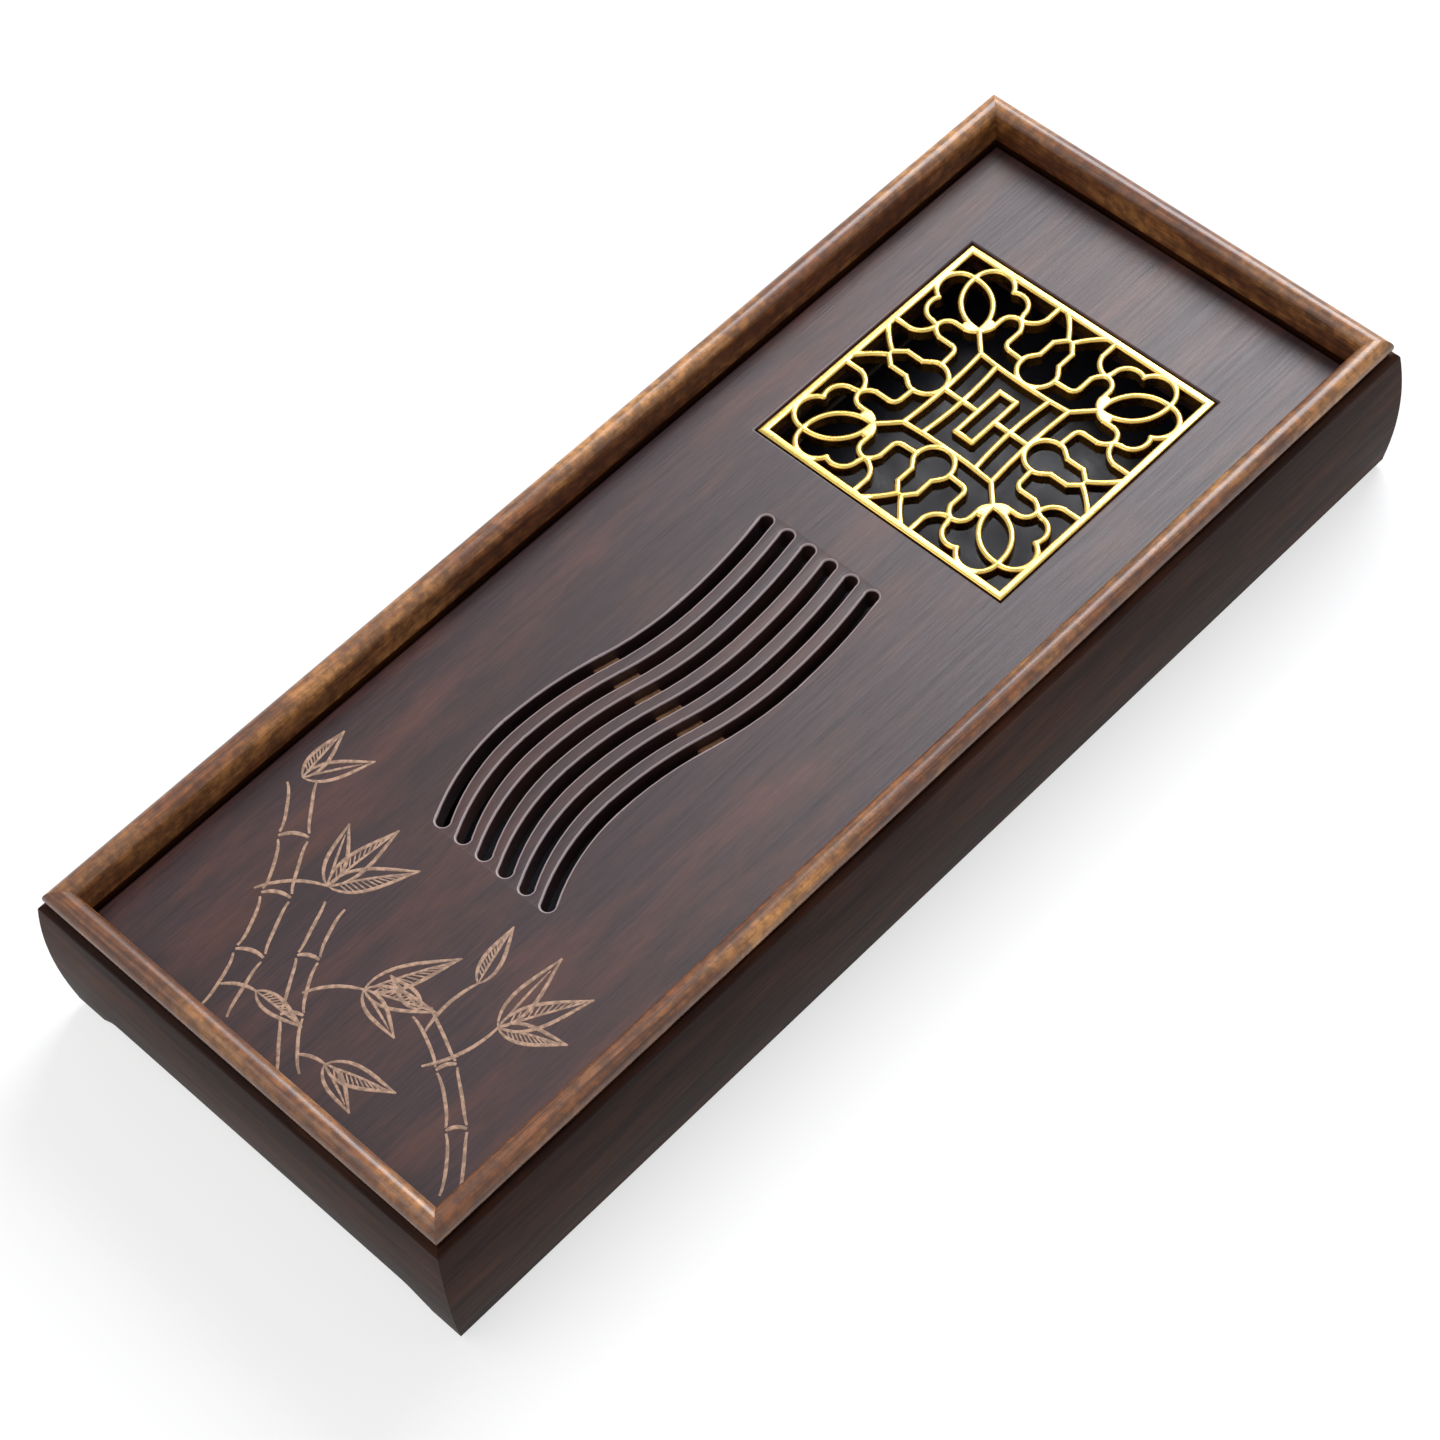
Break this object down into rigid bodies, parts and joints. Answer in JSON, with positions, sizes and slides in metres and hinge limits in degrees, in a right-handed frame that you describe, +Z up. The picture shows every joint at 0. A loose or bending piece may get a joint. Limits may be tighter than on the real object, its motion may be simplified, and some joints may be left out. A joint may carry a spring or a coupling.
{
  "type": "gongfu tea tray",
  "caption": "Long rectangular wooden tea tray with a beaded rim, a sunken drainage board with wavy slots and a cast brass fret grille, over a loose water tray.",
  "frame": {"origin": "middle of the footprint, on the surface that the tray stands on", "axes": "+X along the length toward the grille, -Y toward the long front side, +Z up"},
  "size_m": [0.4, 0.163, 0.059],
  "materials": {
    "rail_wood": "dark satin lacquer",
    "bead_wood": "mid brown satin lacquer",
    "board_wood": "dark satin lacquer, grain along the length",
    "inner_wood": "bare carbonised bamboo",
    "grille_brass": "cast, lightly polished",
    "screw_steel": "zinc plated",
    "tray_plastic": "glossy black"
  },
  "bodies": {
    "frame": {"front_rail": "rail_wood", "back_rail": "rail_wood", "left_rail": "rail_wood", "right_rail": "rail_wood", "front_bead": "bead_wood", "back_bead": "bead_wood", "left_bead": "bead_wood", "right_bead": "bead_wood", "corner_splines": "inner_wood", "bottom_board": "inner_wood", "front_cleat": "inner_wood", "back_cleat": "inner_wood", "left_cleat": "inner_wood", "right_cleat": "inner_wood", "cleat_screws": "screw_steel"},
    "board": {"drainage_board": "board_wood", "slot_batten": "inner_wood", "left_batten": "inner_wood", "right_batten": "inner_wood", "batten_screws": "screw_steel"},
    "grille": {"brass_grille": "grille_brass"},
    "water_tray": {"water_tray": "tray_plastic"}
  },
  "joints": [
    {"name": "board_lift", "type": "slide", "parent": "frame", "child": "board", "axis": [0, 0, 1], "range_m": [0, 0.12]},
    {"name": "grille_lift", "type": "slide", "parent": "board", "child": "grille", "axis": [0, 0, 1], "range_m": [0, 0.05]},
    {"name": "water_tray_lift", "type": "slide", "parent": "frame", "child": "water_tray", "axis": [0, 0, 1], "range_m": [0, 0.06]}
  ],
  "couplings": [
    {"joint": "water_tray_lift", "follows": "board_lift", "ratio": 0.5}
  ]
}
